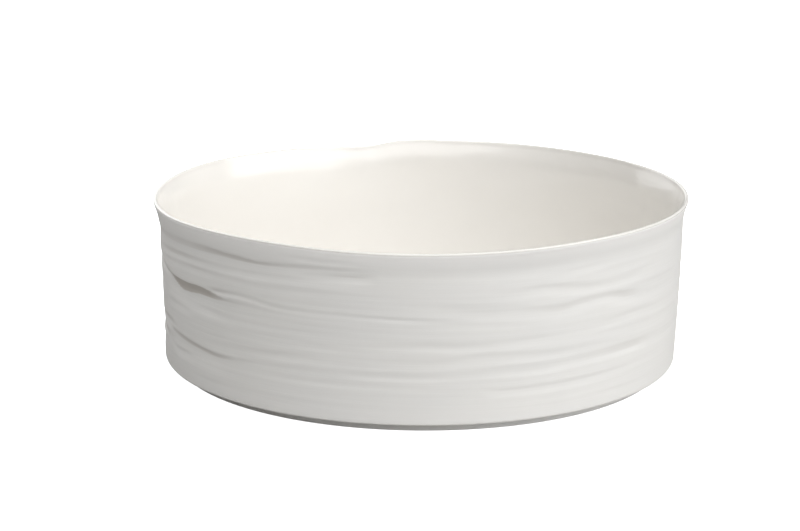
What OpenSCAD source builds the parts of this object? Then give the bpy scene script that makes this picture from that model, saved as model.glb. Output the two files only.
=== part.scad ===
// Low, straight-sided serving bowl in white porcelain, put together the way a potter builds one.
// A carved band of clay forms the side wall. A round slab is let into its foot end as the floor,
// a coil is pressed into the inside corner, and a narrow ring lifts the bowl off the table.
// The inside and the lip are glazed. The outside is bare, smoothed porcelain.
// Millimetres, +Z up. The origin is on the standing plane, at the centre of the foot ring.

/* [Bowl] */
// Outside diameter across the glazed lip
lip_d = 303; // [264:1:340]
// Mean height from the standing plane to the top of the lip
bowl_h = 97; // [74:1:120]
// How much further out the straight part of the wall gets between its bottom edge and the lip
wall_lean = 2.4; // [0:0.1:6]
// How far the lip turns out beyond that
lip_flare = 2.3; // [0.5:0.1:3]
// How much fuller the right side is than the left at mid-height, each way
bulge = 0.6; // [0:0.1:1]
// Height of the lip's slow waves, as a share of the usual one
lip_wave = 1; // [0:0.1:1.5]

/* [Side wall] */
// Thickness of the wall where the floor is let in
wall_base = 5; // [4.2:0.1:6]
// Thickness of the lip
lip_t = 1.8; // [1.4:0.1:2.6]
// Height over which the lip rounds over on the outside, where it is most rounded
lip_drop = 1.1; // [0.8:0.1:2]
// Depth of the carving, as a share of the usual one
carving = 1; // [0:0.1:1.4]

/* [Floor and foot] */
// Thickness of the floor slab
floor_t = 5; // [4:0.1:7]
// Radius of the hollow corner between the floor and the wall
corner_r = 8; // [5:0.5:14]
// Height of the foot ring with its slip
foot_h = 4.7; // [3:0.1:8]
// Width of the foot ring's standing face
foot_w = 9; // [6:0.5:16]
// How far the foot ring stands back from the wall's bottom edge
foot_inset = 6.5; // [6:0.5:14]

/* [Glaze and slip] */
// Thickness of the fired glaze
glaze_t = 0.3; // [0.2:0.05:0.5]
// Thickness of the fired slip that joins two pieces of clay
slip_t = 0.3; // [0.2:0.05:0.5]

/* [Hidden] */
$fn = 120;

// Facets round the wall, rows up its carved face, up its smooth inside and round its lip
segs = 90;
outer_rows = 36;
inner_rows = 8;
lip_steps = 6;
corner_steps = 5;

clay = [0.90, 0.90, 0.885];
glaze = [0.955, 0.94, 0.905];
slip = [0.86, 0.86, 0.84];

lip_r = lip_d / 2 - glaze_t;
base_r = lip_r - lip_flare - wall_lean;
// The flat facets of the wall's inside touch a circle a little smaller than their corners do
seat_r = base_r - wall_base;
seat_in_r = seat_r * cos(180 / segs);
disc_r = seat_in_r - slip_t;
foot_r = base_r - foot_inset;
floor_z = foot_h + floor_t;
corner_z = floor_z + corner_r;
edge_r = 1;
// The coat on the floor is a true disc. The coat that runs up the wall starts just inside its edge.
coat_disc_r = disc_r - corner_r - 2;
coat_lap = 0.2;

// Where up the wall the lip starts to turn out, and where it stops
flare_start = 0.85;
flare_end = 0.985;

// The deeper cuts of the carving, from the lip down, as [fall, points]. Each point of a cut's crest
// is [azimuth, height, depth, half], where half is half the height of the step under the crest,
// and fall is how far down the cut runs out. Azimuth is -90 at the front and -180 at the left.
CUTS = [
    [6, [[-108, 90, 0, 4], [-85, 87.5, 0.2, 4], [-70, 88, 0.25, 3.5], [-40, 88.5, 0.1, 2.5],
         [0, 88, 0, 2.5]]],
    [10, [[-185, 82, 0, 2], [-172, 82, 0.5, 2.2], [-152, 84, 0.5, 2.2], [-132, 85, 0.8, 1.8],
          [-120, 84.5, 0.5, 1.4], [-110, 86, 0.4, 1.5], [-98, 86, 0, 1.5]]],
    [4, [[-172, 72.5, 0, 1.8], [-152, 76.5, 0.5, 1.8], [-134, 78, 0.3, 1.4], [-99, 80.5, 0, 1]]],
    [5, [[-76, 73.5, 0, 1.5], [-64, 75.5, 0.35, 1.6], [-50, 73.5, 0.3, 1.8], [-35, 76, 0.2, 1.6],
         [5, 75, 0, 1.5]]],
    [6, [[-98, 72, 0, 1.5], [-78, 66.5, 0.4, 2.8], [-62, 64, 0.4, 2.2], [-50, 66.5, 0.4, 2],
         [-38, 63.5, 0.4, 2.4], [8, 61, 0, 2]]],
    [2, [[-140, 64, 0, 1], [-130, 65, 0.4, 1.2], [-116, 62.5, 0.2, 1], [-80, 60.5, 0, 1]]],
    [4, [[-205, 72, 0, 2.5], [-190, 70, 0.9, 2.5], [-175, 67, 1.2, 2.5], [-157, 62.5, 0, 1.5]]],
    [14, [[-170, 64, 0, 1.2], [-157, 62, 1, 1], [-148, 61, 1.8, 2.8], [-140, 61, 1.6, 2.6],
          [-134, 59, 0.6, 1.3], [-112, 59, 0, 1.4]]],
    [4, [[-108, 45.5, 0, 1.2], [-88, 48, 0.3, 1.6], [-68, 49.5, 0.25, 1.5], [-40, 53, 0.3, 1.6],
         [8, 52, 0, 1.6]]],
    [4, [[-106, 32, 0, 1.2], [-88, 32.5, 0.2, 1.2], [-62, 34.5, 0.35, 2.4], [-40, 35.5, 0.4, 2.6],
         [10, 36, 0, 2]]],
    [6, [[-182, 31.5, 0, 1.6], [-174, 32, 0.2, 1.6], [-166, 33.5, 0.6, 1.8], [-154, 34, 0, 1.4]]],
    [12, [[-160, 30, 0, 1.5], [-144, 29, 0.8, 1.6], [-130, 29, 0.4, 1.4], [-100, 31.5, 0, 1]]],
    [5, [[-183, 17, 0, 1.6], [-170, 19.5, 0.5, 1.8], [-146, 22, 0, 1.2]]]];

function smooth(t) = let (u = min(max(t, 0), 1)) u * u * (3 - 2 * u);
// Smallest turn from azimuth b to azimuth a, between -180 and 180
function turn(a, b) = (a - b + 540) % 360 - 180;
// A rounded hump that is 1 at its middle and fades to 0 at its half width
function hump(d, half) = abs(d) < half ? pow(1 - pow(d / half, 2), 2) : 0;

// One value of a cut's points, 1 height, 2 depth or 3 half step, at azimuth a
function along(points, a, k) = lookup(a, [for (p = points) [p[0], p[k]]]);
// Depth of one cut at azimuth a and height z
function cut(c, a, z) =
    let (points = c[1], first = points[0][0], last = points[len(points) - 1][0],
         mid = (first + last) / 2, at = mid + turn(a, mid))
    at <= first || at >= last ? 0
    : let (below = along(points, at, 1) - z, half = along(points, at, 3))
        below < -half || below > half + c[0] ? 0
        : along(points, at, 2) * smooth((below / half + 1) / 2)
            * (1 - smooth((below - half) / c[0]));
function sum(list, i = 0) = i < len(list) ? list[i] + sum(list, i + 1) : 0;
// All cuts. The far half carries the same cuts mirrored front to back and upside down.
mirror_h = 97;
function cuts(a, z) = sum([for (c = CUTS) cut(c, a, z) + cut(c, -a, mirror_h - z)]);
// Faint ribs left by the scraper, bent as they run round the wall
rib_pitch = 9;
rib_depth = 0.05;
function ribs(a, z) =
    rib_depth * (1 + sin(2 * a + 70)) * (1 + sin(360 * z / rib_pitch + 70 * sin(2 * a + 20)
        + 45 * sin(3 * a - 50))) / 2;
// The carving fades out above the bottom edge and below the lip
function carve(a, z, s) =
    carving * (cuts(a, z) + ribs(a, z)) * smooth((s - 0.02) / 0.08) * smooth((0.97 - s) / 0.07);

// Slow waves of the lip: a slight tilt, two ripples, and a sharp dip beside a rise at the back
function wave(a) =
    lip_wave * (1.75 * cos(a - 40) + 0.45 * cos(4 * a + 130) + 0.35 * cos(5 * a - 60)
        + 0.8 * hump(turn(a, 91), 9) - 2 * hump(turn(a, 104), 8) - 1.3 * hump(turn(a, 113), 10));

// The lip turns out less at the front left, and is sharpest at the back left
function flare(a) = lip_flare * (1 - 0.6 * max(1 - pow(turn(a, -120) / 52, 2), 0));
function drop(a) = lip_drop * (0.65 + 0.35 * cos(a + 40));
// Radius of the uncarved outside, with s running from 0 at the bottom edge to 1 at the lip
function outer_r(a, s) =
    let (t = min(max((s - flare_start) / (flare_end - flare_start), 0), 1))
    base_r + wall_lean * s + flare(a) * t * t;
// Height of the unglazed lip at azimuth a, and of the point a share s of the way up to it
function rim_z(a) = bowl_h - glaze_t + wave(a);
function row_z(a, s) = foot_h + s * (rim_z(a) - foot_h);
function row_s(a, z) = (z - foot_h) / (rim_z(a) - foot_h);
// The lip is rounded over, by drop(a) on the outside and by a half round on the inside
lip_in = lip_t / 2;
function lip_s(a) = row_s(a, rim_z(a) - drop(a));
function lip_mid_r(a) = outer_r(a, lip_s(a)) - lip_in;
// Radius of the inside at azimuth a and height z, plumb where the floor and coil sit. Above them
// it follows the lean of the outside, and the wall thins mostly near the lip.
function inner_r(a, z) =
    z <= corner_z ? seat_r
    : let (s0 = row_s(a, corner_z), lip_z = rim_z(a) - lip_in, top = lip_mid_r(a) - lip_in,
           lean = outer_r(a, row_s(a, z)) - outer_r(a, s0),
           all_lean = outer_r(a, row_s(a, lip_z)) - outer_r(a, s0))
        seat_r + lean + pow((z - corner_z) / (lip_z - corner_z), 3) * (top - seat_r - all_lean);

// Outline of the wall at azimuth a, as [radius, height]: up the carved face, over the lip, down
function outside_line(a) = [for (i = [0:outer_rows])
    let (s0 = edge_r / (rim_z(a) - foot_h), s = s0 + (lip_s(a) - s0) * i / outer_rows,
         z = row_z(a, s))
    [outer_r(a, s) + bulge * cos(a) * sin(180 * s) - carve(a, z, s), z]];
function lip_line(a, grow) = [for (i = [0:lip_steps])
    let (t = 180 * i / lip_steps, h = t < 90 ? drop(a) : lip_in)
    [lip_mid_r(a) + (lip_in + grow) * cos(t), rim_z(a) - h + (h + grow) * sin(t)]];
function inside_line(a, grow) = [for (i = [1:inner_rows])
    let (top = rim_z(a) - lip_in, z = top + (corner_z - top) * i / inner_rows)
    [inner_r(a, z) - grow, z]];
function corner_line(grow) = [for (i = [1:corner_steps])
    let (t = 90 * i / corner_steps)
    [seat_r - corner_r + (corner_r - grow) * cos(t), corner_z - (corner_r - grow) * sin(t)]];
function tail(list) = [for (i = [1:len(list) - 1]) list[i]];
function turned(list) = [for (i = [len(list) - 1:-1:0]) list[i]];

function wall_section(a) = concat(
    [[base_r - edge_r, foot_h], [base_r - 0.3 * edge_r, foot_h + 0.3 * edge_r]],
    outside_line(a), tail(lip_line(a, 0)), inside_line(a, 0), [[seat_r, foot_h]]);
// The coat follows the lip, the inside wall and the corner, and ends on the floor
function coat_side(a, grow) = concat(
    lip_line(a, grow), inside_line(a, grow), corner_line(grow),
    [[coat_disc_r - coat_lap, floor_z + grow]]);
function coat_section(a) = concat(coat_side(a, glaze_t), turned(coat_side(a, 0)));

// A closed band swept round the axis through one outline for each facet corner
module swept(rings) {
    n = len(rings[0]);
    m = len(rings);
    points = [for (j = [0:m - 1], p = rings[j])
        [p[0] * cos(360 * j / m), p[0] * sin(360 * j / m), p[1]]];
    faces = [for (j = [0:m - 1], i = [0:n - 1])
        let (a = j * n + i, b = j * n + (i + 1) % n,
             c = ((j + 1) % m) * n + (i + 1) % n, d = ((j + 1) % m) * n + i)
        for (f = [[a, b, c], [a, c, d]]) f];
    polyhedron(points = points, faces = faces);
}

module ring(r_out, r_in, z0, z1) {
    rotate_extrude() translate([r_in, z0]) square([r_out - r_in, z1 - z0]);
}

// Carved band of porcelain with the lip turned on its top edge
module side_wall() {
    color(clay) swept([for (j = [0:segs - 1]) wall_section(360 * j / segs)]);
}

// Round slab let into the bottom of the wall
module floor_disc() {
    color(clay) translate([0, 0, foot_h]) cylinder(r = disc_r, h = floor_t);
}

// Narrow ring that the bowl stands on, with its two standing edges eased
module foot_ring() {
    ease = 0.8;
    in_r = foot_r - foot_w;
    top = foot_h - slip_t;
    color(clay) rotate_extrude() polygon([
        [in_r + ease, 0], [foot_r - ease, 0], [foot_r, ease],
        [foot_r, top], [in_r, top], [in_r, ease]]);
}

// Coil pressed into the inside corner and wiped hollow
module corner_coil() {
    color(clay) rotate_extrude() difference() {
        translate([seat_in_r - corner_r, floor_z]) square(corner_r);
        translate([seat_in_r - corner_r, corner_z]) circle(r = corner_r);
    }
}

// Slip between the edge of the floor and the wall
module wall_slip_joint() {
    color(slip) ring(seat_in_r, disc_r, foot_h, floor_z);
}

// Slip between the foot ring and the floor
module foot_slip_joint() {
    color(slip) ring(foot_r, foot_r - foot_w, foot_h - slip_t, foot_h);
}

// Glaze over the floor, the corner, the inside wall and the lip
module inside_glaze() {
    color(glaze) {
        translate([0, 0, floor_z]) cylinder(r = coat_disc_r, h = glaze_t);
        swept([for (j = [0:segs - 1]) coat_section(360 * j / segs)]);
    }
}

// Glaze under the floor, inside the foot ring, with a short skirt down the ring's inner side
module underside_glaze() {
    skirt = foot_h * 0.6;
    in_r = foot_r - foot_w;
    color(glaze) {
        translate([0, 0, foot_h - slip_t]) cylinder(r = in_r, h = slip_t);
        ring(in_r, in_r - slip_t, foot_h - skirt, foot_h);
    }
}

side_wall();
floor_disc();
foot_ring();
corner_coil();
wall_slip_joint();
foot_slip_joint();
inside_glaze();
underside_glaze();
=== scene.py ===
"""Looks for the carved porcelain serving bowl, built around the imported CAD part."""

import math

import bpy
import numpy as np
from mathutils import Matrix, Vector


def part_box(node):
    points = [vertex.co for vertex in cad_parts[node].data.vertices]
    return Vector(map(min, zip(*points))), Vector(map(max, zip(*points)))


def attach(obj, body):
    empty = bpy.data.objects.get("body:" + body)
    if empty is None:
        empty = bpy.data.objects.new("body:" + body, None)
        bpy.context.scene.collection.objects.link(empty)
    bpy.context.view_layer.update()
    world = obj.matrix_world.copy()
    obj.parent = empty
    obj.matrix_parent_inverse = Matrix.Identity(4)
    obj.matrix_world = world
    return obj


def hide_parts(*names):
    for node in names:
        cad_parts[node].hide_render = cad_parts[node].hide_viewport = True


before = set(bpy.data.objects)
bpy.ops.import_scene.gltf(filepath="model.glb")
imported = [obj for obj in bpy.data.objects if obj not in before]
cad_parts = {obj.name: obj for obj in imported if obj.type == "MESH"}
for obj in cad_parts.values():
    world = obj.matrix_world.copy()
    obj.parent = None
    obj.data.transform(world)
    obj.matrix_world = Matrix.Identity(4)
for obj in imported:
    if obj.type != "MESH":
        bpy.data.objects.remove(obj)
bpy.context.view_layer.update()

MM = 0.001
BODY = "root"

# ---------------------------------------------------------------- sizes, in mm, from the CAD boxes
wall_low, wall_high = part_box("side_wall")
disc_low, disc_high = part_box("floor_disc")
coat_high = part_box("inside_glaze")[1]
foot_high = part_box("foot_ring")[1]
coil_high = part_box("corner_coil")[1]
under_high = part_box("underside_glaze")[1]

foot_h = wall_low.z / MM
floor_z = disc_high.z / MM
corner_z = coil_high.z / MM
corner_r = corner_z - floor_z
seat_r = coil_high.x / MM
lip_r = wall_high.x / MM
glaze_t = (coat_high.x - wall_high.x) / MM
foot_r = foot_high.x / MM
well_r = under_high.x / MM
slip_t = (disc_low.z - foot_high.z) / MM

# The wall's shape that no box gives, in mm: the same as in the CAD part
wall_lean = 2.4
lip_flare = 2.3
lip_t = 1.8
lip_in = lip_t / 2
lip_drop = 1.1
bulge = 0.6
base_r = lip_r - lip_flare - wall_lean

# The flare's start and end, as shares of the wall's height
flare_start = 0.85
flare_end = 0.985

# The flare is least round one azimuth: (azimuth, half width in degrees, share taken off)
CALM_AT, CALM_HALF, CALM_SHARE = -120, 52, 0.6
# The lip's outside is rounded by the whole lip_drop at one azimuth, and by this share on average
DROP_PEAK, DROP_MEAN = -40, 0.65

# The lip's height, in mm: waves as (height, waves round the bowl, phase in degrees), and local
# humps and dips as (height, azimuth, half width in degrees)
LIP_WAVES = [(1.75, 1, 50), (0.45, 4, -140), (0.35, 5, 30)]
LIP_HUMPS = [(0.8, 91, 9), (-2, 104, 8), (-1.3, 113, 10)]

# Rounding of the wall's bottom edge and the foot's edges, and height of the band under the lip that
# is painted paler as a painted glow of light through the thin clay, in mm
edge_r = 1.0
foot_ease = 0.8
lip_glow_band = 10.0

# The carving fades in and out at the wall's ends: (share of the height, length of the fade)
FADE_LOW = (0.02, 0.08)
FADE_HIGH = (0.97, 0.07)

# The glaze's edge on the lip's outside, and the turn over which it thickens, in degrees
COAT_EDGE = 5
COAT_FEATHER = 60

# Facets of the CAD wall round the bowl
CAD_FACETS = 90
# Steps in the meshes made here, round the bowl and along the section
WALL_TURNS, COAT_TURNS, FOOT_TURNS = 640, 480, 360
EDGE_ROWS, WALL_ROWS, LIP_ROWS, INNER_ROWS = 5, 128, 12, 8
COAT_LIP_ROWS, COAT_ROWS, CORNER_ROWS, FLOOR_ROWS = 24, 40, 11, 23
FOOT_ARC_ROWS = 7

# ---------------------------------------------------------------- the carving
# A cut is [fall, [points]]. Each point of its crest line is (azimuth, height, depth, half), where
# half is half the height of the step under the crest, and fall is how far down the cut runs out.
# Azimuth is in degrees, -90 at the front and -180 at the left. Cuts that lie above each other are
# listed roughly from the lip down. All were placed one by one from the photo.
CUTS = [
    [6, [(-108, 90, 0, 4), (-98, 88, 0.1, 4), (-85, 87.5, 0.15, 4), (-70, 88, 0.25, 3.5),
         (-55, 89, 0.15, 3), (-38, 88.5, 0.1, 2.5), (-20, 88.5, 0.1, 2.5), (0, 88, 0, 2.5)]],
    [2.5, [(-120, 91.5, 0, 1), (-115, 90.5, 0.2, 1), (-109, 90, 0.3, 1.2), (-104, 90, 0.2, 1.2),
           (-100, 89.5, 0, 1.2)]],
    [10, [(-185, 82, 0, 2), (-172, 82, 0.55, 2.2), (-160, 83, 0.5, 2.2), (-152, 84, 0.5, 2.2),
          (-144, 85, 0.55, 2.2), (-137, 85.3, 0.75, 2), (-134, 85, 0.8, 1.7), (-129, 84.6, 0.8, 1.6),
          (-124, 84, 0.7, 1.2), (-120, 84.5, 0.5, 1.4), (-113, 85.7, 0.45, 1.6),
          (-104, 86, 0.3, 1.5), (-98, 86, 0, 1.5)]],
    [4, [(-116, 81.5, 0, 1.2), (-108, 82.2, 0.35, 1.2), (-101, 82.5, 0.35, 1.2),
         (-98, 82.7, 0, 1.2)]],
    [4, [(-172, 72.5, 0, 1.8), (-164, 74.3, 0.3, 1.8), (-157, 75.6, 0.5, 1.8), (-150, 76.8, 0.55, 1.6),
         (-142, 77.5, 0.4, 1.5), (-134, 77.7, 0.25, 1.3), (-127, 78, 0.3, 1.2), (-119, 78.4, 0.15, 1.2),
         (-108, 79.5, 0.1, 1), (-99, 80.5, 0, 1)]],
    [4, [(-170, 67.5, 0, 1.5), (-160, 70, 0.25, 1.5), (-150, 72, 0.3, 1.3), (-142, 72.8, 0.4, 1.3),
         (-134, 72.8, 0.15, 1.3), (-126, 72.5, 0.15, 1.5), (-116, 73, 0.1, 1.5), (-106, 74, 0, 1.5)]],
    [4, [(-66, 81, 0, 1.3), (-60, 82, 0.15, 1.3), (-54, 83.5, 0.15, 1.2), (-47, 84.5, 0, 1.2)]],
    [4, [(-54, 79.5, 0, 1.2), (-48, 80.3, 0.15, 1.2), (-41, 80.5, 0.15, 1.2), (-30, 80, 0, 1.2)]],
    [5, [(-76, 73.5, 0, 1.5), (-71, 74.3, 0.15, 1.4), (-66, 75.8, 0.3, 1.6), (-60, 74.8, 0.35, 1.8),
         (-53, 73.3, 0.35, 1.8), (-47, 73.5, 0.25, 2), (-40, 74.8, 0.3, 1.8), (-35, 76.2, 0.15, 1.5),
         (-28, 76, 0.1, 1.5), (-15, 75, 0.05, 1.5), (5, 75, 0, 1.5)]],
    [6, [(-98, 72, 0, 1.5), (-90, 70, 0.1, 2.2), (-84, 68, 0.2, 2.6), (-78, 66.3, 0.3, 2.8),
         (-72, 66, 0.25, 2.6), (-66, 64.5, 0.3, 2.4), (-61, 64, 0.4, 2.2), (-56, 65.8, 0.4, 2.2),
         (-50, 66.5, 0.4, 2), (-44, 64.8, 0.5, 2.4), (-38, 63.3, 0.3, 2.4), (-30, 62.8, 0.25, 2.4),
         (-22, 62.5, 0.15, 2), (-8, 62, 0.15, 2), (8, 61, 0, 2)]],
    [4, [(-41, 67.5, 0, 1.2), (-34, 66.8, 0.15, 1.3), (-26, 66.3, 0.15, 1.3), (-16, 66, 0, 1.3)]],
    [2, [(-140, 64, 0, 1), (-137, 64, 0.5, 1.2), (-131, 64.8, 0.35, 1.2), (-126, 64.4, 0.3, 1.2),
         (-121, 63, 0.25, 1.2), (-114, 62.3, 0.15, 1), (-104, 62.3, 0.15, 0.9), (-94, 61.5, 0.2, 0.9),
         (-86, 61, 0.1, 0.9), (-80, 60.5, 0, 0.9)]],
    [3.5, [(-92, 59, 0, 0.9), (-86, 59, 0.1, 0.9), (-76, 58.5, 0.1, 0.9), (-68, 58, 0, 0.9)]],
    [4, [(-205, 72, 0, 2.5), (-190, 70, 0.9, 2.5), (-176, 67, 1.2, 2.5), (-168, 65, 1, 2),
         (-162, 63.5, 0.5, 1.5), (-157, 62.5, 0, 1.2)]],
    [14, [(-170, 63, 0, 1.2), (-163, 62, 0.5, 1), (-158, 61.5, 1, 1.1), (-155, 60.5, 1.6, 2.2),
          (-152, 60, 1.8, 3), (-148, 60.2, 1.8, 2.9), (-144, 61, 1.8, 2.6), (-140, 61.1, 1.6, 2.4),
          (-137, 60.5, 1.1, 1.9), (-134, 60, 0.6, 1.3), (-127, 60, 0.3, 1.3),
          (-120, 59.7, 0.15, 1.4), (-112, 59, 0, 1.4)]],
    [4, [(-182, 52, 0, 1.5), (-170, 52, 0.2, 1.5), (-160, 53, 0.05, 1.5), (-146, 52, 0.05, 1.4),
         (-138, 51.8, 0.25, 1.2), (-133, 51.5, 0.1, 1.2), (-124, 52, 0.1, 1.2),
         (-110, 52, 0.1, 1), (-98, 52.5, 0, 1)]],
    [4, [(-162, 46.5, 0, 1.2), (-156, 47, 0.25, 1.2), (-150, 47, 0.25, 1.2), (-145, 46.5, 0, 1.2)]],
    [4, [(-132, 46.3, 0, 1.2), (-126, 46.5, 0.1, 1.2), (-118, 46.7, 0.1, 1.2), (-108, 45.5, 0.1, 1.2),
         (-100, 47, 0.1, 1.5), (-90, 48.3, 0.25, 1.6), (-82, 47.9, 0.3, 1.6), (-75, 48.5, 0.2, 1.5),
         (-68, 49.3, 0.25, 1.5), (-62, 49.7, 0.15, 1.5), (-56, 50.5, 0.1, 1.5), (-49, 51.8, 0.25, 1.6),
         (-41, 53, 0.3, 1.6), (-31, 52, 0.2, 1.6), (-22, 51.8, 0.15, 1.6), (-8, 52, 0.2, 1.6),
         (8, 52, 0, 1.6)]],
    [4, [(-54, 46, 0, 1.1), (-48, 46, 0.15, 1.1), (-40, 45.6, 0.15, 1.2), (-31, 45.2, 0.1, 1.3),
         (-22, 45, 0.1, 1.3), (-8, 44.5, 0.2, 1.3), (8, 44, 0, 1.3)]],
    [6, [(-182, 31.5, 0, 1.6), (-174, 32, 0.2, 1.6), (-167, 33.5, 0.6, 1.8), (-162, 34.6, 0.65, 1.8),
         (-158, 34.6, 0.4, 1.5), (-154, 34, 0.05, 1.3)]],
    [5, [(-142, 35, 0, 1.5), (-134, 35.3, 0.15, 1.6), (-126, 36.5, 0.2, 1.8), (-119, 37.8, 0.25, 1.6),
         (-112, 39, 0.1, 1.5), (-104, 40, 0.05, 1.5), (-95, 40, 0.1, 2), (-86, 40, 0.15, 2),
         (-79, 41.7, 0.2, 1.4), (-71, 41.5, 0.2, 1.4), (-62, 40.5, 0.25, 1.4),
         (-52, 40.6, 0.15, 1.3), (-43, 39.5, 0.1, 1.2), (-34, 39, 0, 1.2)]],
    [3.5, [(-106, 32, 0, 1.2), (-98, 32.3, 0.15, 1.2), (-88, 32.3, 0.15, 1.2), (-80, 33, 0.1, 1.5),
           (-74, 34, 0.2, 2), (-66, 34, 0.3, 2.4), (-58, 35, 0.3, 2.4), (-50, 35.6, 0.4, 2.6),
           (-40, 35.6, 0.5, 2.6), (-31, 34.8, 0.25, 2.4), (-22, 34, 0.2, 2.2), (-6, 35, 0.25, 2),
           (10, 36, 0, 2)]],
    [12, [(-160, 30, 0, 1.4), (-157, 30, 0.55, 1.5), (-151, 29.5, 0.75, 1.7), (-144, 28.8, 0.85, 1.6),
          (-137, 28.2, 0.75, 1.5), (-131, 29, 0.3, 1.4), (-126, 30.3, 0.2, 1.2), (-118, 31, 0.15, 1),
          (-108, 31.5, 0.05, 1), (-100, 31.5, 0, 1)]],
    [2.5, [(-106, 30.8, 0, 0.8), (-100, 30.7, 0.1, 0.8), (-90, 30.5, 0.1, 0.8), (-80, 30, 0, 0.8)]],
    [3, [(-122, 25.5, 0, 1.3), (-112, 26.3, 0.1, 1.3), (-103, 26.8, 0.1, 1.3), (-94, 26.5, 0.1, 1.3),
         (-86, 26, 0, 1.3)]],
    [4, [(-78, 24, 0, 1), (-75, 23, 0.2, 0.9), (-71, 22.8, 0.25, 0.9), (-64, 23, 0.25, 1.2),
         (-56, 23.3, 0.25, 1.3), (-47, 23.8, 0.2, 1.3), (-39, 24.2, 0.1, 1.3), (-30, 24.5, 0, 1.3)]],
    [5, [(-183, 17, 0, 1.6), (-172, 19, 0.5, 1.8), (-165, 21, 0.4, 1.6), (-159, 22.3, 0.1, 1.2),
         (-155, 21.3, 0.3, 1), (-150, 21.8, 0.3, 1), (-146, 21.8, 0, 1)]],
    [4, [(-150, 12, 0, 1.2), (-140, 12.3, 0.1, 1.2), (-128, 12.3, 0.1, 1.2), (-118, 11.8, 0.1, 1.2),
         (-110, 11.8, 0, 1.2)]],
    [4, [(-52, 12.5, 0, 1), (-45, 12.7, 0.15, 1), (-38, 12.3, 0.05, 1), (-30, 12, 0, 1)]],
]
# The far half repeats these cuts, mirrored to the back and counted down from this height
MIRROR_H = 97
# A cut's step is never lower than twice this, in mm
MIN_HALF = 0.6
# The painted shade in the crease under a crest: how softly it starts and ends, in mm, and its reach in
# halves
CREASE_START, CREASE_END, CREASE_REACH = 0.7, 0.9, 1.5

# Faint streaks left by the scraper: pitch in mm, depth in mm, two bends as (waves round the bowl,
# phase in degrees, size in radians), and how many times they swell and fade round the bowl
STREAK_MEAN = 0.6
STREAKS = [
    (2.6, 0.008, (2, 40, 3.1), (5, 130, 1.3), 3),
    (3.7, 0.012, (3, 200, 2.4), (4, 75, 1.7), 2),
    (5.9, 0.025, (1, 300, 3.0), (3, 15, 2.0), 5),
]


def smooth(t):
    """Eases from 0 to 1."""
    u = np.clip(t, 0.0, 1.0)
    return u * u * (3 - 2 * u)


def sin_deg(a):
    """Sine of an angle in degrees."""
    return np.sin(np.radians(a))


def turn(a, b):
    """Smallest turn from azimuth b to azimuth a, in degrees."""
    return (a - b + 540) % 360 - 180


def hump(d, half):
    """1 in the middle, fading to 0 at the half width."""
    return np.clip(1 - (d / half) ** 2, 0, 1) ** 2


def along(points, azimuth):
    """A cut's height, depth and half step at each azimuth, on a smooth curve through its points."""
    knots = np.array(points, float)
    x = knots[:, 0]
    slopes = np.gradient(knots[:, 1:], x, axis=0)
    mid = (x[0] + x[-1]) / 2
    a = mid + turn(azimuth, mid)
    k = np.clip(np.searchsorted(x, a) - 1, 0, len(x) - 2)
    h = x[k + 1] - x[k]
    t = np.clip((a - x[k]) / h, 0, 1)[:, None]
    h = h[:, None]
    start, end = knots[k, 1:], knots[k + 1, 1:]
    value = (
        start * (1 - t) ** 2 * (1 + 2 * t)
        + end * t ** 2 * (3 - 2 * t)
        + slopes[k] * h * t * (1 - t) ** 2
        - slopes[k + 1] * h * t ** 2 * (1 - t)
    )
    outside = (a < x[0]) | (a > x[-1])
    depth = np.where(outside, 0.0, np.maximum(value[:, 1], 0.0))
    return value[:, 0], depth, np.maximum(value[:, 2], MIN_HALF)


def cut_depth(azimuth, height):
    """Depth of all cuts, in mm, on a grid of azimuths (rows) and heights (columns).

    The second grid is how deep the cuts are right under their crests, where the material paints shade
    into the clay, darker and warmer.
    """
    total = np.zeros(height.shape)
    crease_shade = np.zeros(height.shape)
    for fall, points in CUTS:
        for side in (1, -1):
            line, depth, half = along(points, side * azimuth)
            if side < 0:
                line = MIRROR_H - line
            below = line[:, None] - height
            half = half[:, None]
            step = smooth((below / half + 1) / 2)
            back = 1 - smooth((below - half) / fall)
            # Where the material paints shade: from just under the crest to a little below the step
            start = smooth(below / CREASE_START + half)
            end = smooth((CREASE_REACH * half - below) / CREASE_END)
            total += depth[:, None] * step * back
            crease_shade += depth[:, None] * start * end
    return total, crease_shade


def streak_depth(azimuth, height):
    """Depth of the scraper's streaks on the same grid, in mm."""
    total = np.zeros(height.shape)
    for pitch, depth, (n1, p1, w1), (n2, p2, w2), swells in STREAKS:
        bend = w1 * sin_deg(n1 * azimuth + p1) + w2 * sin_deg(n2 * azimuth + p2)
        swell = STREAK_MEAN + (1 - STREAK_MEAN) * sin_deg(swells * azimuth + p1 + p2)
        total += depth * swell[:, None] * (1 + np.sin(2 * math.pi * height / pitch + bend[:, None]))
    return total


def wave(azimuth):
    """Height of the lip above its mean, in mm."""
    waves = sum(high * sin_deg(count * azimuth + phase) for high, count, phase in LIP_WAVES)
    humps = sum(high * hump(turn(azimuth, middle), half) for high, middle, half in LIP_HUMPS)
    return waves + humps


# The CAD wall has a corner at each of its facets, and its box reaches up to the highest of them
rim_mean = wall_high.z / MM - wave(np.arange(CAD_FACETS) * 360 / CAD_FACETS).max()


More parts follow.
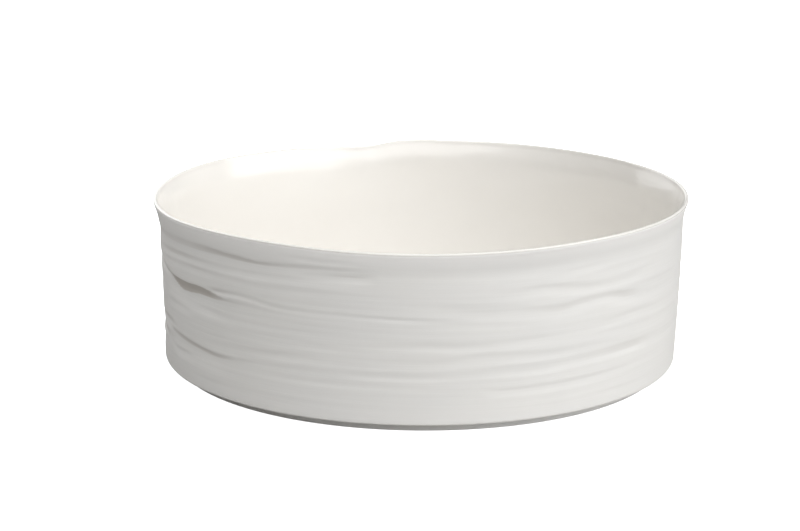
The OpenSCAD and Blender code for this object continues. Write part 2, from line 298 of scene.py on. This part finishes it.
class Rim:
    """The wall's outline, in mm. Each value is a column with one row for each azimuth."""

    def __init__(self, azimuth):
        a = azimuth[:, None]
        self.ones = np.ones_like(a)
        calm = np.clip(1 - (turn(a, CALM_AT) / CALM_HALF) ** 2, 0, 1)
        self.top = rim_mean + wave(a)
        self.drop = lip_drop * (DROP_MEAN + (1 - DROP_MEAN) * sin_deg(a - DROP_PEAK + 90))
        self.flare = lip_flare * (1 - CALM_SHARE * calm)
        self.start = self.share(self.top - self.drop)

    def share(self, z):
        """0 at the wall's bottom edge, 1 at the top of the lip."""
        return (z - foot_h) / (self.top - foot_h)

    def outer(self, s):
        """Radius of the uncarved outside at a share of the height."""
        t = np.clip((s - flare_start) / (flare_end - flare_start), 0, 1)
        return base_r + wall_lean * s + self.flare * t ** 2

    def lip(self, angles, grow):
        """The lip's rounded top, grow mm off the clay, at angles from its outside (0) to its inside
        (180). The inside is a quarter circle, and the outside is as tall as the drop."""
        a = np.radians(angles)
        drop = np.where(angles < 90, self.drop, lip_in)
        radius = self.outer(self.start) - lip_in + (lip_in + grow) * np.cos(a)
        return radius, self.top - drop + (drop + grow) * np.sin(a)

    def inner(self, z):
        """Radius of the clay's inside, plumb where the floor and the coil sit."""
        low, high = self.outer(self.share(corner_z)), self.outer(self.share(self.top - lip_in))
        lean = self.outer(self.share(np.maximum(z, corner_z))) - low
        t = np.clip((z - corner_z) / (self.top - lip_in - corner_z), 0, 1)
        thinned = self.outer(self.start) - lip_t - seat_r - (high - low)
        return seat_r + lean + t ** 3 * thinned


# ---------------------------------------------------------------- meshes
def grid_mesh(name, radius, height, azimuth, closed_section=True):
    """A band swept round the axis. radius and height hold one row per azimuth, in mm. A closed
    section joins its last point to its first."""
    turns, points = radius.shape
    cos, sin = np.cos(np.radians(azimuth))[:, None], np.sin(np.radians(azimuth))[:, None]
    xyz = np.stack([radius * cos, radius * sin, height], axis=-1).reshape(-1, 3) * MM
    j = np.arange(turns)[:, None]
    i = np.arange(points if closed_section else points - 1)[None, :]
    nj, ni = (j + 1) % turns, (i + 1) % points
    faces = np.stack([j * points + i, nj * points + i, nj * points + ni, j * points + ni], axis=-1)
    return mesh_object(name, xyz, faces.reshape(-1, 4))


def mesh_object(name, xyz, quads):
    """A smooth-shaded object from an array of points and an array of four-sided faces."""
    mesh = bpy.data.meshes.new(name)
    mesh.vertices.add(len(xyz))
    mesh.vertices.foreach_set("co", xyz.astype(np.float32).ravel())
    mesh.loops.add(quads.size)
    mesh.loops.foreach_set("vertex_index", quads.astype(np.int32).ravel())
    mesh.polygons.add(len(quads))
    mesh.polygons.foreach_set("loop_start", np.arange(0, quads.size, 4, dtype=np.int32))
    mesh.polygons.foreach_set("use_smooth", np.ones(len(quads), bool))
    mesh.update(calc_edges=True)
    mesh.validate()
    obj = bpy.data.objects.new(name, mesh)
    bpy.context.scene.collection.objects.link(obj)
    return obj


def add_attribute(obj, name, values):
    """One number a vertex, which the material reads."""
    layer = obj.data.attributes.new(name, "FLOAT", "POINT")
    layer.data.foreach_set("value", np.asarray(values, np.float32).ravel())


def rows_after(first, last, count):
    """Evenly spaced values from first to last, as one row, without the first."""
    return np.linspace(first, last, count + 1)[None, 1:]


def make_wall():
    """The carved band: round the bottom edge, up the outside, over the lip and down the inside."""
    azimuth = np.linspace(0, 360, WALL_TURNS, endpoint=False)
    rim = Rim(azimuth)
    edge_a = np.radians(np.linspace(-90, 0, EDGE_ROWS + 1)[None, :-1])
    edge_rad = (base_r - edge_r + edge_r * np.cos(edge_a)) * rim.ones
    edge_z = (foot_h + edge_r + edge_r * np.sin(edge_a)) * rim.ones
    lip_start = rim.top - rim.drop
    z = foot_h + edge_r + (lip_start - foot_h - edge_r) * np.linspace(0, 1, WALL_ROWS)[None, :]
    s = rim.share(z)
    fade = smooth((s - FADE_LOW[0]) / FADE_LOW[1]) * smooth((FADE_HIGH[0] - s) / FADE_HIGH[1])
    hollow, crease_shade = (grid * fade for grid in cut_depth(azimuth, z))
    relief = hollow + streak_depth(azimuth, z) * fade
    # The wall is a little fuller than a cone on the right, and a little flatter on the left
    fuller = bulge * sin_deg(azimuth + 90)[:, None] * np.sin(math.pi * s)
    out_rad = rim.outer(s) + fuller - relief
    lip_rad, lip_z = rim.lip(rows_after(0, 180, LIP_ROWS), 0.0)
    in_z = rim.top - lip_in + (corner_z - rim.top + lip_in) * rows_after(0, 1, INNER_ROWS)
    radius = np.hstack([edge_rad, out_rad, lip_rad, rim.inner(in_z), seat_r * rim.ones])
    height = np.hstack([edge_z, z, lip_z, in_z, foot_h * rim.ones])
    wall = grid_mesh("carved_wall", radius, height, azimuth)
    # The crease grid, kept for the material's painted shade in the cuts
    shade_in_cuts = np.zeros(radius.shape)
    shade_in_cuts[:, EDGE_ROWS:EDGE_ROWS + WALL_ROWS] = crease_shade
    add_attribute(wall, "crease_shade", shade_in_cuts)
    # The band under the lip, kept for the material's painted glow
    add_attribute(wall, "lip_glow", 1 - smooth((lip_start - height) / lip_glow_band))
    return wall


def coat_side(rim, grow):
    """One face of the coat, grow mm off the clay: over the lip, down the wall, over the floor."""
    lip_a = np.linspace(COAT_EDGE, 180, COAT_LIP_ROWS)[None, :]
    lip_rad, lip_z = rim.lip(lip_a, grow * smooth((lip_a - COAT_EDGE) / COAT_FEATHER))
    in_z = rim.top - lip_in + (corner_z - rim.top + lip_in) * rows_after(0, 1, COAT_ROWS)
    in_rad = rim.inner(in_z) - grow
    turn_a = np.radians(rows_after(0, 90, CORNER_ROWS))
    corner_rad = (seat_r - corner_r + (corner_r - grow) * np.cos(turn_a)) * rim.ones
    corner_h = (corner_z - (corner_r - grow) * np.sin(turn_a)) * rim.ones
    flat_r = rows_after(seat_r - corner_r, 0, FLOOR_ROWS) * rim.ones
    return (
        np.hstack([lip_rad, in_rad, corner_rad, flat_r]),
        np.hstack([lip_z, in_z, corner_h, np.full_like(flat_r, floor_z + grow)]),
    )


def make_coat():
    """The glaze: a thin shell over the lip, the inside wall, the corner and the floor.

    Its section runs from the axis along the clay, over the lip, and back to the axis on its face.
    """
    azimuth = np.linspace(0, 360, COAT_TURNS, endpoint=False)
    rim = Rim(azimuth)
    back_r, back_z = coat_side(rim, 0.0)
    face_r, face_z = coat_side(rim, glaze_t)
    radius = np.hstack([back_r[:, ::-1], face_r[:, 1:]])
    height = np.hstack([back_z[:, ::-1], face_z[:, 1:]])
    return grid_mesh("glossy_inside", radius, height, azimuth, closed_section=False)


def make_foot():
    """The foot ring, with its standing edges eased."""
    azimuth = np.linspace(0, 360, FOOT_TURNS, endpoint=False)
    top = foot_h - slip_t
    arc = np.radians(np.linspace(0, 90, FOOT_ARC_ROWS))
    rise, run = foot_ease * np.sin(arc), foot_ease * np.cos(arc)
    radius = [well_r + foot_ease - run, foot_r - foot_ease + rise, [foot_r, foot_r, well_r, well_r]]
    height = [foot_ease - rise, foot_ease - run, [top / 2, top, top, top / 2]]
    section = (np.tile(np.concatenate(part), (FOOT_TURNS, 1)) for part in (radius, height))
    return grid_mesh("turned_foot", *section, azimuth)


# ---------------------------------------------------------------- materials
def rgb(r, g, b):
    """An opaque colour."""
    return (r, g, b, 1.0)


CLAY_TONES = rgb(0.828, 0.823, 0.803), rgb(0.840, 0.833, 0.808)
# Painted shade: the darker, warmer tone in the cuts
CREASE_SHADE_TONE = rgb(0.590, 0.560, 0.520)
# Painted glow: the paler tone near the lip, for light coming through the thin clay
LIP_GLOW_TONE = rgb(0.970, 0.963, 0.942)
GLAZE_TONES = rgb(0.865, 0.842, 0.800), rgb(0.880, 0.860, 0.822)
SLIP_TONES = rgb(0.74, 0.735, 0.715), rgb(0.80, 0.795, 0.78)
# Height of the fine relief that only the materials carry, in metres
DRAG_BUMP = 0.00006
GRAIN_BUMP = 0.000012
RIPPLE_BUMP = 0.0004
SPECK_BUMP = 0.0001


class Nodes:
    """Short calls for building a node material."""

    def __init__(self, name):
        self.material = bpy.data.materials.new(name)
        self.material.use_nodes = True
        self.tree = self.material.node_tree
        self.shader = self.tree.nodes["Principled BSDF"]

    def put(self, socket, value):
        """Links a socket to another node's output, or sets it to a constant."""
        if isinstance(value, bpy.types.NodeSocket):
            self.tree.links.new(value, socket)
        else:
            socket.default_value = value

    def add(self, kind, inputs=None, **settings):
        """Adds a node. Its inputs go by their sockets' names or numbers."""
        node = self.tree.nodes.new(kind)
        for key, value in settings.items():
            setattr(node, key, value)
        for key, value in (inputs or {}).items():
            self.put(node.inputs[key], value)
        return node

    def set(self, **values):
        """Sets or links the main shader's sockets. An underscore in a name stands for a space."""
        for key, value in values.items():
            self.put(self.shader.inputs[key.replace("_", " ")], value)

    def noise(self, around, up, detail=4.0, roughness=0.55):
        """Noise with its own number of features to the metre round the bowl and up its side."""
        place = self.add("ShaderNodeTexCoord").outputs["Object"]
        mapped = self.add("ShaderNodeMapping", {"Vector": place, "Scale": (around, around, up)})
        return self.add("ShaderNodeTexNoise", {
            "Vector": mapped.outputs["Vector"], "Scale": 1.0, "Detail": detail,
            "Roughness": roughness}).outputs["Fac"]

    def attribute(self, name):
        """A number that the mesh carries at each point."""
        return self.add("ShaderNodeAttribute", attribute_name=name).outputs["Fac"]

    def ramp(self, value, low, high, to_low=0.0, to_high=1.0):
        """Maps a range of a value to another."""
        return self.add("ShaderNodeMapRange", {
            "Value": value, "From Min": low, "From Max": high,
            "To Min": to_low, "To Max": to_high}).outputs["Result"]

    def mix(self, factor, a, b):
        """Mixes two colours. The mix node names its sockets alike, so they go by number."""
        return self.add("ShaderNodeMix", {0: factor, 6: a, 7: b}, data_type="RGBA").outputs[2]

    def bump(self, height, distance, **below):
        """Fine relief, on top of another one's normal if there is one."""
        inputs = {"Height": height, "Distance": distance, **below}
        return self.add("ShaderNodeBump", inputs).outputs["Normal"]


def bare_porcelain():
    """Smoothed, unglazed porcelain with fine drag marks: cool white, darker and warmer in the cuts as
    painted shade, and paler near the lip as a painted glow standing in for light through the thin clay."""
    n = Nodes("bare_porcelain")
    cloud = n.ramp(n.noise(14, 40, 3), 0.35, 0.65)
    # Painted shade: darker, warmer clay right under each cut's crest
    shade_in_cuts = n.ramp(n.attribute("crease_shade"), 0.3, 1.5)
    clay = n.mix(cloud, *CLAY_TONES)
    clay = n.mix(shade_in_cuts, clay, CREASE_SHADE_TONE)
    # Painted glow: paler clay in a band under the lip
    clay = n.mix(n.attribute("lip_glow"), clay, LIP_GLOW_TONE)
    rough = n.ramp(n.noise(60, 400), 0.3, 0.7, 0.46, 0.6)
    drag = n.bump(n.noise(30, 900, 5, 0.6), DRAG_BUMP)
    grain = n.bump(n.noise(2600, 2600, 3, 0.5), GRAIN_BUMP, Normal=drag)
    n.set(Base_Color=clay, Roughness=rough, Normal=grain, Specular_IOR_Level=0.42)
    return n.material


def clear_glaze():
    """Glossy warm white glaze, slightly uneven in tone, with a soft ripple."""
    n = Nodes("clear_glaze")
    cloud = n.ramp(n.noise(9, 16, 2), 0.35, 0.65)
    rough = n.ramp(n.noise(120, 120, 3), 0.3, 0.7, 0.16, 0.24)
    ripple = n.bump(n.noise(30, 46, 2), RIPPLE_BUMP)
    n.set(Base_Color=n.mix(cloud, *GLAZE_TONES), Roughness=rough, Normal=ripple)
    n.set(Coat_Weight=0.35, Coat_Roughness=0.06)
    return n.material


def fired_slip():
    """Matt slip in the joints."""
    n = Nodes("fired_slip")
    speck = n.noise(500, 500)
    rough = n.ramp(speck, 0.3, 0.7, 0.6, 0.8)
    n.set(Base_Color=n.mix(speck, *SLIP_TONES), Roughness=rough, Normal=n.bump(speck, SPECK_BUMP))
    return n.material


def studio_floor(tone, glow):
    """Plain floor, very faintly mottled, that may glow white."""
    n = Nodes("studio_floor")
    darker = (0.96 * part for part in tone)
    n.set(Base_Color=n.mix(n.noise(40, 40), rgb(*tone), rgb(*darker)), Roughness=0.9)
    n.set(Specular_IOR_Level=0.1, Emission_Color=rgb(1, 1, 1), Emission_Strength=glow)
    return n.material


def finish_piece(piece, material, slot, *nodes):
    """Gives a new piece its material, its body and the CAD nodes that it stands for. The slot is not
    used.
    """
    piece.data.materials.append(material)
    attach(piece, BODY)
    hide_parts(*nodes)


def dress_node(name, material):
    """Gives a CAD node that stays in view a better material."""
    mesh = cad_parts[name].data
    mesh.materials.clear()
    mesh.materials.append(material)


PORCELAIN = bare_porcelain()
GLAZE = clear_glaze()
SLIP = fired_slip()

finish_piece(make_wall(), PORCELAIN, "bare_porcelain", "side_wall")
finish_piece(make_coat(), GLAZE, "clear_glaze", "inside_glaze")
finish_piece(make_foot(), PORCELAIN, "bare_porcelain", "foot_ring")
dress_node("floor_disc", PORCELAIN)
dress_node("corner_coil", PORCELAIN)
dress_node("underside_glaze", GLAZE)
dress_node("wall_slip_joint", SLIP)
dress_node("foot_slip_joint", SLIP)

# ---------------------------------------------------------------- stage, light and camera
STAGE_R = 12.0
BACKDROP_H = 12.0
STAGE_TURNS = 64
BOUNCE_LEVEL = -0.0005


def make_stage(name, tone, glow, level, seen_by_camera):
    """A round floor. The one that the camera sees carries a round backdrop and glows like a light
    table. The other one is darker, and gives the light that comes back up under the bowl."""
    angles = np.radians(np.linspace(0, 360, STAGE_TURNS, endpoint=False))
    circle = [(STAGE_R * math.cos(a), STAGE_R * math.sin(a)) for a in angles]
    points = [(x, y, level) for x, y in circle]
    faces = [tuple(range(STAGE_TURNS))]
    if seen_by_camera:
        points += [(x, y, level + BACKDROP_H) for x, y in circle]
        for i in range(STAGE_TURNS):
            j = (i + 1) % STAGE_TURNS
            faces.append((i, STAGE_TURNS + i, STAGE_TURNS + j, j))
    mesh = bpy.data.meshes.new(name)
    mesh.from_pydata(points, [], faces)
    floor = bpy.data.objects.new(name, mesh)
    bpy.context.scene.collection.objects.link(floor)
    floor.data.materials.append(studio_floor(tone, glow))
    floor.visible_camera = seen_by_camera
    floor.visible_diffuse = floor.visible_glossy = not seen_by_camera
    floor.visible_transmission = floor.visible_shadow = not seen_by_camera


def soft_light(name, azimuth, elevation, spread, strength):
    """A far, wide, soft white light. Its azimuth is counted like the bowl's, all in degrees."""
    lamp = bpy.data.lights.new(name, "SUN")
    lamp.angle = math.radians(spread)
    lamp.energy = strength * math.pi
    obj = bpy.data.objects.new(name, lamp)
    bpy.context.scene.collection.objects.link(obj)
    a, e = math.radians(azimuth), math.radians(elevation)
    source = Vector((math.cos(a) * math.cos(e), math.sin(a) * math.cos(e), math.sin(e)))
    obj.matrix_world = (-source).to_track_quat("-Z", "Y").to_matrix().to_4x4()


def set_world(strength):
    """A faint, even white light from all round."""
    world = bpy.data.worlds.new("studio")
    world.use_nodes = True
    back = world.node_tree.nodes["Background"]
    back.inputs["Color"].default_value = rgb(1, 1, 1)
    back.inputs["Strength"].default_value = strength
    bpy.context.scene.world = world


# The camera looks at the front from a little above, with the view that fits the photo's outline:
# lens in mm, angles in degrees, places in metres
LENS = 85.8
SENSOR = 36.0
CAMERA_TILT = 14.26
CAMERA_ROLL = 0.42
CAMERA_DISTANCE = 1.0989
CAMERA_AIM = (0, 0, 0.0462)
CAMERA_SHIFT = (-0.0253, 0.0131)


def make_camera():
    """The photo's viewpoint."""
    data = bpy.data.cameras.new("camera")
    data.lens = LENS
    data.sensor_width = SENSOR
    data.shift_x, data.shift_y = CAMERA_SHIFT
    data.clip_start = 0.01
    data.clip_end = 100.0
    camera = bpy.data.objects.new("camera", data)
    bpy.context.scene.collection.objects.link(camera)
    tilt = math.radians(CAMERA_TILT)
    out = Vector((0, -math.cos(tilt), math.sin(tilt)))
    place = Matrix.Translation(Vector(CAMERA_AIM) + out * CAMERA_DISTANCE)
    turned = (-out).to_track_quat("-Z", "Y").to_matrix().to_4x4()
    roll = Matrix.Rotation(math.radians(CAMERA_ROLL), 4, "Z")
    camera.matrix_world = place @ turned @ roll
    bpy.context.scene.camera = camera


make_stage("studio_floor", (0.94, 0.94, 0.94), 1.0, 0.0, True)
make_stage("studio_floor_bounce", (0.46, 0.45, 0.44), 0.0, BOUNCE_LEVEL, False)
set_world(0.02)
soft_light("front_above", -88, 60, 80, 0.80)
soft_light("low_right", -20, 15, 60, 0.59)
soft_light("low_back", 120, 15, 60, 0.36)
soft_light("back_right", 55, 15, 60, 0.14)
make_camera()
bpy.context.scene.view_settings.view_transform = "Standard"
bpy.context.scene.view_settings.look = "None"
